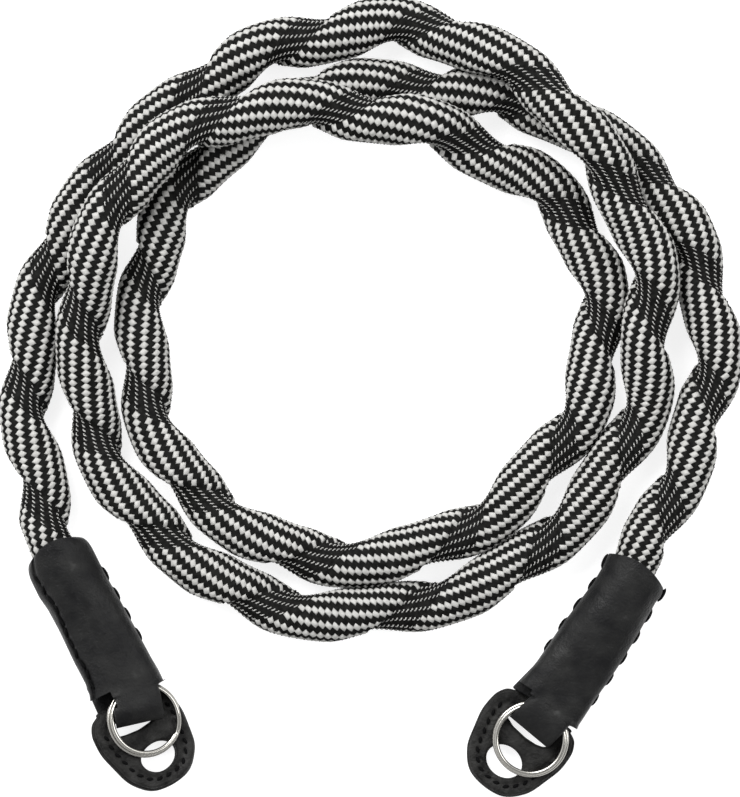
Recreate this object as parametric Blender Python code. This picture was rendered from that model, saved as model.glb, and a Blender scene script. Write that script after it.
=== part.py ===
"""A camera strap laid down in a loose coil: a round braided cord, a sewn leather sleeve on each end,
and on each sleeve's tongue a split ring and a leather guard. Metres, +Z up, the floor is z = 0."""
import math

import bmesh
import bpy
import numpy as np
from mathutils import Matrix, Vector

MM = 0.001

# The cord: widest radius, depth of the neck that winds round it, and how far round the neck reaches
CORD_RADIUS = 5.6 * MM
NECK_DEPTH = 2.2 * MM
NECK_HALF_ANGLE = math.radians(130)
CORD_SIDES = 10
CORD_STEP = 2.7 * MM

# The cord's end inside a sleeve
CORD_IN_SLEEVE = 21.0 * MM
CORD_END_RADIUS = 4.65 * MM
CORD_TIP_RADIUS = 2.7 * MM
CORD_TAPER = 5.0 * MM

# Leather sleeves and their tongues
LEATHER = 1.2 * MM
SLEEVE_LENGTH = 32.2 * MM
SLEEVE_WIDTH = 14.9 * MM
SLEEVE_HEIGHT = 12.8 * MM
MOUTH_ARCH = 1.9 * MM
TONGUE_LENGTH = 6.9 * MM
TONGUE_WIDTH = 10.0 * MM
TONGUE_HEIGHT = 8.4 * MM

# Leather guards
GUARD_LENGTH = 19.9 * MM
GUARD_WIDTH = 20.0 * MM
GUARD_LAYER = 1.1 * MM
GUARD_LAYER_GAP = 0.3 * MM
GUARD_EDGE = 0.2 * MM
LUG_HOLE_WIDTH = 7.7 * MM
LUG_HOLE_LENGTH = 6.4 * MM
LUG_HOLE_FROM_END = 6.6 * MM
SLOT_WIDTH = 11.4 * MM
SLOT_LENGTH = 3.5 * MM
SLOT_CORNER = 0.5 * MM
SLOT_SIDE = 0.5 * MM
BRIDGE = 3.1 * MM
GUARD_LIFT = 0.15 * MM

# Split rings
RING_DIAMETER = 15.0 * MM
WIRE = 0.95 * MM
RING_TURN_GAP = 0.1 * MM
RING_STEP_ANGLE = math.radians(45)
WIRE_SIDES_RESOLUTION = 1

# Gaps between pieces
GAP = 0.3 * MM

# The middle of the laid-out strap, so that it stands centred on the origin
CENTRE = Vector((0.11 * MM, 0.04 * MM, 0.0))

# Route of the cord from the left sleeve's mouth to the right one's, millimetres: x, y, height of the middle
ROUTE = (
    (-64.2, -28.7, 6.4), (-66.4, -16.3, 5.7), (-69.0, -3.3, 5.6), (-68.3, 9.7, 5.6), (-65.7, 22.6, 5.6),
    (-60.3, 34.5, 5.6), (-53.1, 45.3, 5.6), (-44.0, 54.8, 5.6), (-33.7, 62.6, 5.6), (-22.7, 69.6, 5.6),
    (-9.8, 72.7, 5.6), (3.0, 75.1, 5.6), (15.7, 72.8, 8.4), (27.7, 67.2, 12.6), (38.0, 59.2, 15.9),
    (45.8, 48.9, 16.0), (52.3, 37.5, 12.8), (56.5, 25.4, 11.4), (55.9, 12.2, 9.2), (55.2, -0.6, 6.2),
    (49.4, -12.5, 6.0), (41.8, -22.9, 5.7), (32.1, -31.8, 5.6), (20.5, -38.1, 5.6), (8.2, -41.9, 5.6),
    (-4.8, -43.4, 5.6), (-17.6, -42.0, 5.6), (-29.8, -36.8, 5.6), (-40.0, -29.0, 5.6), (-49.0, -19.6, 5.65),
    (-54.9, -7.9, 5.9), (-57.2, 4.9, 8.1), (-57.5, 18.0, 11.4), (-54.9, 30.7, 14.8), (-49.0, 42.3, 15.9),
    (-40.0, 51.6, 15.2), (-27.9, 56.6, 16.9), (-15.1, 58.6, 17.2), (-2.1, 57.0, 16.2), (11.0, 55.0, 14.6),
    (22.8, 49.4, 9.0), (34.2, 43.3, 6.1), (42.3, 33.2, 5.7), (46.5, 21.3, 5.62), (45.4, 8.1, 5.6),
    (41.7, -4.4, 5.6), (33.5, -14.5, 5.6), (24.4, -23.6, 5.6), (12.5, -29.5, 5.6), (-0.3, -32.3, 5.6),
    (-13.4, -31.4, 5.6), (-25.4, -26.1, 5.6), (-35.5, -17.7, 5.6), (-42.9, -6.8, 5.6), (-45.6, 5.9, 5.6),
    (-45.6, 19.0, 5.6), (-42.8, 31.7, 5.6), (-37.0, 43.3, 5.6), (-27.3, 52.2, 5.6), (-16.3, 59.2, 5.6),
    (-3.8, 62.8, 5.6), (9.2, 62.0, 5.6), (22.4, 61.4, 5.6), (35.0, 57.8, 5.6), (46.6, 52.2, 5.6),
    (56.6, 43.6, 5.6), (63.8, 33.0, 5.6), (67.6, 20.5, 5.6), (69.3, 7.5, 5.6), (66.1, -5.1, 5.6),
    (61.8, -17.5, 5.7), (55.0, -29.7, 6.4),
)

# Where the neck crosses the top of the cord, counted in points of the route
NECK_AT = (
    0.53, 2.30, 4.17, 5.93, 7.74, 9.58, 11.52, 13.48, 15.43, 17.47, 19.61, 21.70, 23.93, 26.21, 28.14,
    29.98, 31.83, 33.81, 35.66, 37.67, 39.61, 41.59, 43.41, 45.38, 47.46, 49.78, 51.72, 53.54, 55.35,
    57.00, 58.97, 60.86, 62.63, 64.79, 66.46, 68.44, 70.27,
)

# Each end, millimetres and degrees: mouth and heading of the sleeve, how far its shoulder is turned and lies
# beside that line, how far the tongue leans and its fold is turned, the slope across the tongue, where its
# root lies, the guard's hole beyond and beside that root, the guard's heading and pitch, where the ring lies
# on it, by what share the guard's far side looks narrower at its top, where it curls down, and how far the
# sleeve bows to its side
ENDS = {
    "left": {
        "mouth": (-63.2, -30.4), "heading": -63.6, "shoulder_turn": -8.0, "shoulder_side": 0.2,
        "tongue_lean": -16.9, "tongue_turn": -6.8, "roll": -14.0, "root_side": 1.9, "hole": (13.9586, 2.2073),
        "guard_heading": -60.8, "pitch": 2.5, "ring_offset": (-7.75, 0.75), "ring_end": 35.0,
        "curl": 0.17, "bow": 0.0,
    },
    "right": {
        "mouth": (53.2, -34.5), "heading": -122.6, "shoulder_turn": 0.0, "shoulder_side": 0.0,
        "tongue_lean": -12.0, "tongue_turn": -7.2, "roll": 0.0, "root_side": 1.1, "hole": (14.5418, 0.6071),
        "guard_heading": -128.1, "pitch": 4.8, "ring_offset": (-7.0, 1.4), "ring_end": 160.0,
        "curl": 0.0, "bow": 0.6,
    },
}

# Sleeve sections: place along the sleeve, width and height as shares of the sleeve's own, how square it is
SLEEVE_SECTIONS = (
    # along, width, height, squareness
    (0.00, 0.89, 1.00, 2.0),
    (0.12, 0.90, 0.99, 2.0),
    (0.30, 0.91, 0.95, 2.1),
    (0.52, 0.93, 0.85, 2.4),
    (0.76, 0.96, 0.74, 3.0),
    (1.00, 1.02, 0.656, 3.6),
)

# Guard outline from its top edge to its free end: place as a share of its length, half width as a share
GUARD_OUTLINE = (
    # along, half width
    (0.000, 0.56), (0.020, 0.69), (0.055, 0.81), (0.105, 0.91), (0.175, 0.975), (0.265, 1.00),
    (0.405, 0.995), (0.570, 0.915), (0.720, 0.83), (0.815, 0.73), (0.880, 0.625), (0.930, 0.52),
    (0.972, 0.37), (0.993, 0.19),
)


def start_clean():
    """Empties the file and makes the two collections."""
    for item in list(bpy.data.objects):
        bpy.data.objects.remove(item, do_unlink=True)
    part = bpy.data.collections.new("coiled_camera_strap")
    cutters = bpy.data.collections.new("cutters")
    bpy.context.scene.collection.children.link(part)
    bpy.context.scene.collection.children.link(cutters)
    return part, cutters


def material(name, colour, roughness, metallic=0.0):
    """A plain Principled material."""
    made = bpy.data.materials.new(name)
    made.use_nodes = True
    shader = made.node_tree.nodes["Principled BSDF"]
    shader.inputs["Base Color"].default_value = (*colour, 1.0)
    shader.inputs["Roughness"].default_value = roughness
    shader.inputs["Metallic"].default_value = metallic
    made.diffuse_color = (*colour, 1.0)
    return made


def add_object(name, data, collection, paint=None):
    """Links an object into a collection, with its material."""
    item = bpy.data.objects.new(name, data)
    collection.objects.link(item)
    if paint is not None:
        data.materials.clear()
        data.materials.append(paint)
    return item


def mesh_from(name, points, faces):
    """A mesh from points and faces, with every face turned outwards."""
    mesh = bpy.data.meshes.new(name)
    mesh.from_pydata([tuple(p) for p in points], [], faces)
    work = bmesh.new()
    work.from_mesh(mesh)
    bmesh.ops.recalc_face_normals(work, faces=work.faces)
    work.to_mesh(mesh)
    work.free()
    return mesh


def natural_spline(values, at):
    """A smooth curve through values at 0, 1, 2 ..., read at the places asked for, with its slope."""
    values = np.asarray(values, float)
    count = len(values)
    system = np.zeros((count, count))
    right = np.zeros((count,) + values.shape[1:])
    system[0, 0] = 1.0
    system[-1, -1] = 1.0
    for row in range(1, count - 1):
        system[row, row - 1:row + 2] = (1.0, 4.0, 1.0)
        right[row] = 6.0 * (values[row - 1] - 2.0 * values[row] + values[row + 1])
    bend = np.linalg.solve(system, right)
    at = np.asarray(at, float)
    low = np.clip(np.floor(at).astype(int), 0, count - 2)
    b = at - low
    a = 1.0 - b
    if values.ndim > 1:
        a = a[:, None]
        b = b[:, None]
    place = a * values[low] + b * values[low + 1]
    place = place + ((a ** 3 - a) * bend[low] + (b ** 3 - b) * bend[low + 1]) / 6.0
    slope = values[low + 1] - values[low]
    slope = slope + ((1.0 - 3.0 * a ** 2) * bend[low] + (3.0 * b ** 2 - 1.0) * bend[low + 1]) / 6.0
    return place, slope


def sleeve_point(end, along, side=0.0, height=0.0):
    """A point in a sleeve's own directions: along it from its mouth, to its side, and up."""
    mouth = Vector((end["mouth"][0] * MM, end["mouth"][1] * MM, 0.0)) - CENTRE
    turned = math.radians(end["heading"])
    forward = Vector((math.cos(turned), math.sin(turned), 0.0))
    across = Vector((-math.sin(turned), math.cos(turned), 0.0))
    return mouth + forward * along + across * side + Vector((0.0, 0.0, height))


def sleeve_side(end, along):
    """How far the middle of the sleeve lies beside its straight line, at a distance along it."""
    share = min(1.0, max(0.0, along / SLEEVE_LENGTH))
    return (end["shoulder_side"] * share + end["bow"] * math.sin(math.pi * share)) * MM


def sleeve_middle(along):
    """How high the middle of the sleeve lies above the floor."""
    places = [row[0] * SLEEVE_LENGTH for row in SLEEVE_SECTIONS]
    heights = [row[2] * SLEEVE_HEIGHT / 2.0 for row in SLEEVE_SECTIONS]
    return float(np.interp(along, places, heights))


def route_points():
    """The cord's whole route: into the left sleeve, round the coil, and into the right sleeve."""
    inside = (CORD_IN_SLEEVE, CORD_IN_SLEEVE * 0.55, CORD_IN_SLEEVE * 0.2)
    ends = {}
    for side, end in ENDS.items():
        ends[side] = [sleeve_point(end, d, sleeve_side(end, d), sleeve_middle(d)) for d in inside]
    points = ends["left"]
    points += [Vector((x * MM, y * MM, z * MM)) - CENTRE for x, y, z in ROUTE]
    points += ends["right"][::-1]
    return np.array([tuple(p) for p in points]), len(inside)


def cord_stations():
    """Evenly spaced places along the cord, with directions, length so far and turns of the neck."""
    points, lead = route_points()
    fine = np.linspace(0.0, len(points) - 1.0, 6001)
    places, _ = natural_spline(points, fine)
    length = np.concatenate([[0.0], np.cumsum(np.linalg.norm(np.diff(places, axis=0), axis=1))])
    count = int(round(length[-1] / CORD_STEP)) + 1
    wanted = np.linspace(0.0, length[-1], count)
    at = np.interp(wanted, length, fine)
    middle, forward = natural_spline(points, at)
    forward /= np.linalg.norm(forward, axis=1)[:, None]
    up = np.array([0.0, 0.0, 1.0]) - forward * forward[:, 2:3]
    up /= np.linalg.norm(up, axis=1)[:, None]
    left = np.cross(up, forward)
    neck = np.array(NECK_AT) + lead
    turns = np.interp(at, neck, np.arange(len(neck)))
    first_pitch = neck[1] - neck[0]
    last_pitch = neck[-1] - neck[-2]
    turns = np.where(at < neck[0], (at - neck[0]) / first_pitch, turns)
    turns = np.where(at > neck[-1], len(neck) - 1 + (at - neck[-1]) / last_pitch, turns)
    return middle, up, left, wanted, length[-1], turns


def end_radius(depth_in):
    """Widest radius and neck depth at a distance into a sleeve, negative outside it."""
    places = (-MOUTH_ARCH - CORD_TAPER, -MOUTH_ARCH, 0.6 * CORD_IN_SLEEVE, CORD_IN_SLEEVE)
    widest = np.interp(depth_in, places, (CORD_RADIUS, CORD_END_RADIUS, CORD_END_RADIUS * 0.88, CORD_TIP_RADIUS))
    groove = np.interp(depth_in, places, (NECK_DEPTH, NECK_DEPTH * 0.15, 0.0, 0.0))
    return widest, groove


def make_cord(collection, paint):
    """The braided cord: a round body with one neck winding round it, lofted along the route."""
    middle, up, left, length, total, turns = cord_stations()
    depth_in = np.maximum(CORD_IN_SLEEVE - length, length - (total - CORD_IN_SLEEVE))
    widest, groove = end_radius(depth_in)
    points = []
    for row in range(len(middle)):
        for side in range(CORD_SIDES):
            angle = 2.0 * math.pi * side / CORD_SIDES
            from_neck = (angle - 2.0 * math.pi * turns[row] + math.pi) % (2.0 * math.pi) - math.pi
            share = 0.0
            if abs(from_neck) < NECK_HALF_ANGLE:
                share = 0.5 + 0.5 * math.cos(math.pi * from_neck / NECK_HALF_ANGLE)
            radius = widest[row] - groove[row] * share
            points.append(middle[row] + radius * (math.cos(angle) * up[row] + math.sin(angle) * left[row]))
    faces = tube_faces(len(middle), CORD_SIDES)
    return add_object("braided_cord", mesh_from("braided_cord", points, faces), collection, paint)


def tube_faces(rows, sides):
    """Faces of a closed tube: quads between its rows, and one face on each end."""
    faces = []
    for row in range(rows - 1):
        for side in range(sides):
            after = (side + 1) % sides
            faces.append((row * sides + side, row * sides + after, (row + 1) * sides + after, (row + 1) * sides + side))
    faces.append(tuple(range(sides)))
    faces.append(tuple(range((rows - 1) * sides, rows * sides)))
    return faces


def section_ring(half_width, half_height, squareness, per_quarter=4):
    """Points of a rounded section, as (side, up, share of the half width), mirrored about its middle line."""
    ring = []
    total = 4 * per_quarter
    for k in range(total):
        angle = 2.0 * math.pi * k / total
        c, s = math.cos(angle), math.sin(angle)
        x = math.copysign(abs(c) ** (2.0 / squareness), c)
        y = math.copysign(abs(s) ** (2.0 / squareness), s)
        ring.append((half_width * x, half_height * y, x))
    return ring


def loft(name, rings):
    """A closed body through rings of equal count, each end filled with strips across it."""
    count = len(rings[0])
    points = [p for ring in rings for p in ring]
    faces = []
    for row in range(len(rings) - 1):
        for k in range(count):
            after = (k + 1) % count
            faces.append((row * count + k, row * count + after, (row + 1) * count + after, (row + 1) * count + k))
    for base in (0, (len(rings) - 1) * count):
        for k in range(count // 2):
            a, b = k, k + 1
            c, d = (count - b) % count, (count - a) % count
            corners = []
            for corner in (a, b, c, d):
                if base + corner not in corners:
                    corners.append(base + corner)
            faces.append(tuple(corners))
    return mesh_from(name, points, faces)


def sleeve_rings(end, wall):
    """Rings of a sleeve's outside (wall 0) or of its hollow (wall above 0)."""
    slope_full = math.tan(math.radians(end["roll"]))
    shoulder_turn = math.radians(end["shoulder_turn"])
    turn = math.radians(end["tongue_turn"])
    heading = math.radians(end["heading"])
    rows = []
    for along, width, height, squareness in SLEEVE_SECTIONS:
        rows.append({
            "along": along * SLEEVE_LENGTH, "turn": shoulder_turn * along ** 3,
            "arch": MOUTH_ARCH if along == 0.0 else 0.0, "half_width": width * SLEEVE_WIDTH / 2.0,
            "half_height": height * SLEEVE_HEIGHT / 2.0, "squareness": squareness,
            "slope": slope_full * slope_share(along),
        })
    root = SLEEVE_LENGTH
    fold = SLEEVE_LENGTH + TONGUE_LENGTH
    high = TONGUE_HEIGHT / 2.0
    wide = TONGUE_WIDTH / 2.0
    if wall == 0.0:
        rows[-1]["half_height"] = high
        tongue = (
            (root + 0.10 * TONGUE_LENGTH, wide, high),
            (fold - 0.30 * TONGUE_LENGTH, wide, high),
            (fold - 0.12 * TONGUE_LENGTH, wide, high * 0.93),
            (fold - 0.03 * TONGUE_LENGTH, wide, high * 0.76),
            (fold, wide, high * 0.50),
        )
    else:
        for row in rows:
            row["half_width"] -= wall
            row["half_height"] -= wall
        rows[-1]["half_height"] = high - wall
        rows[-1]["squareness"] = 9.0
        rows[0]["arch"] = 0.0
        rows.insert(0, dict(rows[0], along=-MOUTH_ARCH - wall))
        open_side = wide + 1.6 * wall
        tongue = (
            (root + 0.12 * TONGUE_LENGTH, open_side, high - wall),
            (fold - 0.30 * TONGUE_LENGTH, open_side, high - wall),
            (fold - wall, open_side, (high - wall) * 0.84),
        )
    for along, half_width, half_height in tongue:
        rows.append({
            "along": along, "turn": turn, "arch": 0.0, "half_width": half_width,
            "half_height": half_height, "squareness": 9.0, "slope": slope_full,
        })
    rings = []
    for row in rows:
        middle = middle_height(row["along"], slope_full)
        if row["along"] > root:
            centre = tongue_place(end, row["along"] - root) + Vector((0.0, 0.0, middle))
        else:
            centre = sleeve_point(end, row["along"], sleeve_side(end, row["along"]), middle)
        facing = heading + row["turn"]
        forward = Vector((math.cos(facing), math.sin(facing), 0.0))
        across = Vector((-math.sin(facing), math.cos(facing), row["slope"]))
        upward = Vector((0.0, 0.0, 1.0))
        ring = []
        for x, y, share in section_ring(row["half_width"], row["half_height"], row["squareness"]):
            bow = -row["arch"] * (1.0 - share * share)
            ring.append(centre + across * x + upward * y + forward * bow)
        rings.append(ring)
    return rings


def tongue_place(end, beyond, side=0.0):
    """The point on the floor at a distance beyond the tongue's root, and beside its middle line."""
    leaning = math.radians(end["heading"] + end["tongue_lean"])
    root = sleeve_point(end, SLEEVE_LENGTH, end["root_side"] * MM)
    ahead = Vector((math.cos(leaning), math.sin(leaning), 0.0))
    return root + ahead * beyond + Vector((-ahead.y, ahead.x, 0.0)) * side


def slope_share(share):
    """How much of the tongue's slope a section of the sleeve already has, at a share of its length."""
    return min(1.0, max(0.0, (share - 0.45) / 0.55))


def middle_height(along, slope_full):
    """Height of the middle of a sleeve or tongue, so that its lowest line lies on the floor."""
    share = along / SLEEVE_LENGTH
    if share > 1.0:
        return TONGUE_HEIGHT / 2.0 + TONGUE_WIDTH / 2.0 * abs(slope_full)
    places = [row[0] for row in SLEEVE_SECTIONS]
    half_height = float(np.interp(share, places, [row[2] for row in SLEEVE_SECTIONS])) * SLEEVE_HEIGHT / 2.0
    return half_height + TONGUE_WIDTH / 2.0 * abs(slope_full) * slope_share(share)


def make_sleeve(side, collection, cutters, paint):
    """One leather sleeve with its folded tongue: an outer body with the hollow cut out of it."""
    end = ENDS[side]
    name = "leather_sleeve_" + side
    outer = add_object(name, loft(name, sleeve_rings(end, 0.0)), collection, paint)
    hollow = add_object("hollow_" + side, loft("hollow_" + side, sleeve_rings(end, LEATHER)), cutters)
    hollow.hide_render = True
    hollow.display_type = "WIRE"
    cut = outer.modifiers.new("hollow", "BOOLEAN")
    cut.operation = "DIFFERENCE"
    cut.solver = "EXACT"
    cut.object = hollow
    return outer


def guard_frame(end):
    """The guard's own directions: x to its free end, y across it, z up out of its face, hole at 0, 0."""
    roll = math.radians(end["roll"])
    pitch = math.radians(end["pitch"])
    tongue_middle = middle_height(SLEEVE_LENGTH + TONGUE_LENGTH, math.tan(roll))
    below = TONGUE_HEIGHT / 2.0 - LEATHER - GAP - GUARD_LAYER - GUARD_LAYER_GAP / 2.0
    turn = Matrix.Rotation(math.radians(end["guard_heading"]), 4, "Z")
    turned = turn @ Matrix.Rotation(pitch, 4, "Y") @ Matrix.Rotation(roll, 4, "X")
    normal = turned.to_3x3() @ Vector((0.0, 0.0, 1.0))
    hole = tongue_place(end, end["hole"][0] * MM, end["hole"][1] * MM)
    reach = tongue_place(end, 0.5 * TONGUE_LENGTH) - hole
    hole.z = tongue_middle - below + GUARD_LIFT + (normal.x * reach.x + normal.y * reach.y) / normal.z
    return Matrix.Translation(hole) @ turned


def outline_spline(curve, points):
    """Adds one closed outline to a flat curve."""
    spline = curve.splines.new("POLY")
    spline.points.add(len(points) - 1)
    for place, (x, y) in zip(spline.points, points):
        place.co = (x, y, 0.0, 1.0)
    spline.use_cyclic_u = True


def guard_outline(inset, curl):
    """The guard's rim as points round it, drawn in by an inset, its far side narrower by the curl."""
    top = LUG_HOLE_FROM_END - GUARD_LENGTH
    far = []
    near = []
    for along, wide in GUARD_OUTLINE:
        x = top + inset + along * (GUARD_LENGTH - 2.0 * inset)
        y = wide * (GUARD_WIDTH / 2.0 - inset)
        far.append((x, y * (1.0 - curl * max(0.0, 1.0 - along / 0.75))))
        near.append((x, -y))
    return far + [(LUG_HOLE_FROM_END - inset, 0.0)] + near[::-1]


def rounded_slot(middle_x, middle_y, length, width, corner):
    """Points of a rounded rectangle across the guard."""
    points = []
    for sx, sy, start in ((1, 1, 0), (-1, 1, 90), (-1, -1, 180), (1, -1, 270)):
        for step in (0, 45, 90):
            angle = math.radians(start + step)
            x = middle_x + sx * (length / 2.0 - corner) + corner * math.cos(angle)
            y = middle_y + sy * (width / 2.0 - corner) + corner * math.sin(angle)
            points.append((x, y))
    return points


def make_guard_layer(name, end, middle_z, collection, paint):
    """One leather layer of a guard, with the lug hole and the tongue's slot cut through."""
    curve = bpy.data.curves.new(name, "CURVE")
    curve.dimensions = "2D"
    curve.fill_mode = "BOTH"
    outline_spline(curve, guard_outline(GUARD_EDGE, end["curl"]))
    hole = []
    for k in range(18):
        angle = 2.0 * math.pi * k / 18
        reach_x = LUG_HOLE_LENGTH / 2.0 + GUARD_EDGE
        reach_y = LUG_HOLE_WIDTH / 2.0 + GUARD_EDGE
        hole.append((reach_x * math.cos(angle), reach_y * math.sin(angle)))
    outline_spline(curve, hole)
    slot_x = -(LUG_HOLE_LENGTH / 2.0 + BRIDGE + SLOT_LENGTH / 2.0)
    long = SLOT_LENGTH + 2.0 * GUARD_EDGE
    wide = SLOT_WIDTH + 2.0 * GUARD_EDGE
    outline_spline(curve, rounded_slot(slot_x, SLOT_SIDE, long, wide, SLOT_CORNER))
    curve.extrude = GUARD_LAYER / 2.0 - GUARD_EDGE
    curve.bevel_depth = GUARD_EDGE
    curve.bevel_resolution = 0
    return curve_to_mesh(name, curve, guard_frame(end) @ Matrix.Translation((0.0, 0.0, middle_z)), collection, paint)


def curve_to_mesh(name, curve, place, collection, paint):
    """Turns a curve into a closed mesh at its place, and removes the curve."""
    scratch = bpy.data.objects.new(name + "_curve", curve)
    bpy.context.scene.collection.objects.link(scratch)
    bpy.context.view_layer.update()
    mesh = bpy.data.meshes.new_from_object(scratch)
    bpy.data.objects.remove(scratch, do_unlink=True)
    work = bmesh.new()
    work.from_mesh(mesh)
    bmesh.ops.remove_doubles(work, verts=work.verts, dist=0.00001)
    bmesh.ops.transform(work, matrix=place, verts=work.verts)
    bmesh.ops.recalc_face_normals(work, faces=work.faces)
    work.to_mesh(mesh)
    work.free()
    mesh.name = name
    return add_object(name, mesh, collection, paint)


def make_ring(side, collection, paint):
    """A split ring: nearly two turns of wire, with the step from the lower turn to the upper."""
    end = ENDS[side]
    radius = RING_DIAMETER / 2.0 - WIRE / 2.0
    rise = WIRE + RING_TURN_GAP
    first = RING_STEP_ANGLE
    last = 4.0 * math.pi
    steps = 46
    curve = bpy.data.curves.new("ring_path_" + side, "CURVE")
    curve.dimensions = "3D"
    spline = curve.splines.new("POLY")
    spline.points.add(steps)
    for k in range(steps + 1):
        angle = first + (last - first) * k / steps
        climbed = min(1.0, max(0.0, (angle - 2.0 * math.pi) / RING_STEP_ANGLE))
        smooth = climbed * climbed * (3.0 - 2.0 * climbed)
        turned = angle + math.radians(end["ring_end"])
        spline.points[k].co = (radius * math.cos(turned), radius * math.sin(turned), (smooth - 0.5) * rise, 1.0)
    curve.bevel_depth = WIRE / 2.0
    curve.bevel_resolution = WIRE_SIDES_RESOLUTION
    curve.use_fill_caps = True
    above_face = GUARD_LAYER + GUARD_LAYER_GAP / 2.0 + GAP + WIRE + RING_TURN_GAP / 2.0
    shift = Matrix.Translation((end["ring_offset"][0] * MM, end["ring_offset"][1] * MM, above_face))
    return curve_to_mesh("split_ring_" + side, curve, guard_frame(end) @ shift, collection, paint)


def build():
    """Builds the whole strap."""
    part, cutters = start_clean()
    braid = material("braided_cord", (0.20, 0.20, 0.19), 0.9)
    leather = material("black_leather", (0.026, 0.026, 0.027), 0.55)
    inner = material("guard_leather", (0.035, 0.034, 0.033), 0.6)
    steel = material("ring_steel", (0.72, 0.69, 0.64), 0.25, 1.0)
    make_cord(part, braid)
    layer_middle = (GUARD_LAYER + GUARD_LAYER_GAP) / 2.0
    for side in ("left", "right"):
        make_sleeve(side, part, cutters, leather)
        make_ring(side, part, steel)
        make_guard_layer("guard_face_" + side, ENDS[side], layer_middle, part, inner)
        make_guard_layer("guard_backing_" + side, ENDS[side], -layer_middle, part, inner)


build()
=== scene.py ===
"""Dresses the coiled camera strap: braided cord, sewn leather sleeves and guards, and split rings.
Metres, +Z up, the floor is z = 0, seen from straight above."""

from math import copysign, cos, exp, pi, radians, sin, sqrt, tan

import bmesh
import bpy
import numpy as np
from mathutils import Matrix, Vector


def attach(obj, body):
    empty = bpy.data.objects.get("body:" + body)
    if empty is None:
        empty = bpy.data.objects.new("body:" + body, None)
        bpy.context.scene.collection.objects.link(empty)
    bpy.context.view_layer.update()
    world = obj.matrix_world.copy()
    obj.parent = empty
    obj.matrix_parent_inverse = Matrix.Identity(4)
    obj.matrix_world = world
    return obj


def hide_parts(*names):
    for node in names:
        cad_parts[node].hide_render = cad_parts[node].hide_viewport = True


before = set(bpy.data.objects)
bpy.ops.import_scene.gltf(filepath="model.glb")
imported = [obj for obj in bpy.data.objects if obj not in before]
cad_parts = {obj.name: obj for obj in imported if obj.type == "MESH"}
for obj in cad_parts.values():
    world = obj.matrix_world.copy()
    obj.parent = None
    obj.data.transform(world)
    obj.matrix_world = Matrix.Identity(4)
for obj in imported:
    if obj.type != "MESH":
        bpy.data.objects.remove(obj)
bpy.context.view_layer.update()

MM = 0.001
TURN = 2.0 * pi
UP = Vector((0.0, 0.0, 1.0))

# Named sizes, the same as in the part's source
CORD_RADIUS = 5.6 * MM
NECK_DEPTH = 2.2 * MM
NECK_HALF_ANGLE = radians(130)
CORD_IN_SLEEVE = 21.0 * MM
CORD_END_RADIUS = 4.65 * MM
CORD_TIP_RADIUS = 2.7 * MM
CORD_TAPER = 5.0 * MM
LEATHER = 1.2 * MM
SLEEVE_LENGTH = 32.2 * MM
SLEEVE_WIDTH = 14.9 * MM
SLEEVE_HEIGHT = 12.8 * MM
MOUTH_ARCH = 1.9 * MM
TONGUE_LENGTH = 6.9 * MM
TONGUE_WIDTH = 10.0 * MM
TONGUE_HEIGHT = 8.4 * MM
GUARD_LENGTH = 19.9 * MM
GUARD_WIDTH = 20.0 * MM
GUARD_LAYER = 1.1 * MM
GUARD_LAYER_GAP = 0.3 * MM
LUG_HOLE_WIDTH = 7.7 * MM
LUG_HOLE_LENGTH = 6.4 * MM
LUG_HOLE_FROM_END = 6.6 * MM
SLOT_WIDTH = 11.4 * MM
SLOT_LENGTH = 3.5 * MM
SLOT_SIDE = 0.5 * MM
BRIDGE = 3.1 * MM
GUARD_LIFT = 0.15 * MM
RING_DIAMETER = 15.0 * MM
WIRE = 0.95 * MM
RING_TURN_GAP = 0.1 * MM
RING_STEP_ANGLE = radians(45)
GAP = 0.3 * MM
CENTRE = Vector((0.11 * MM, 0.04 * MM, 0.0))

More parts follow.
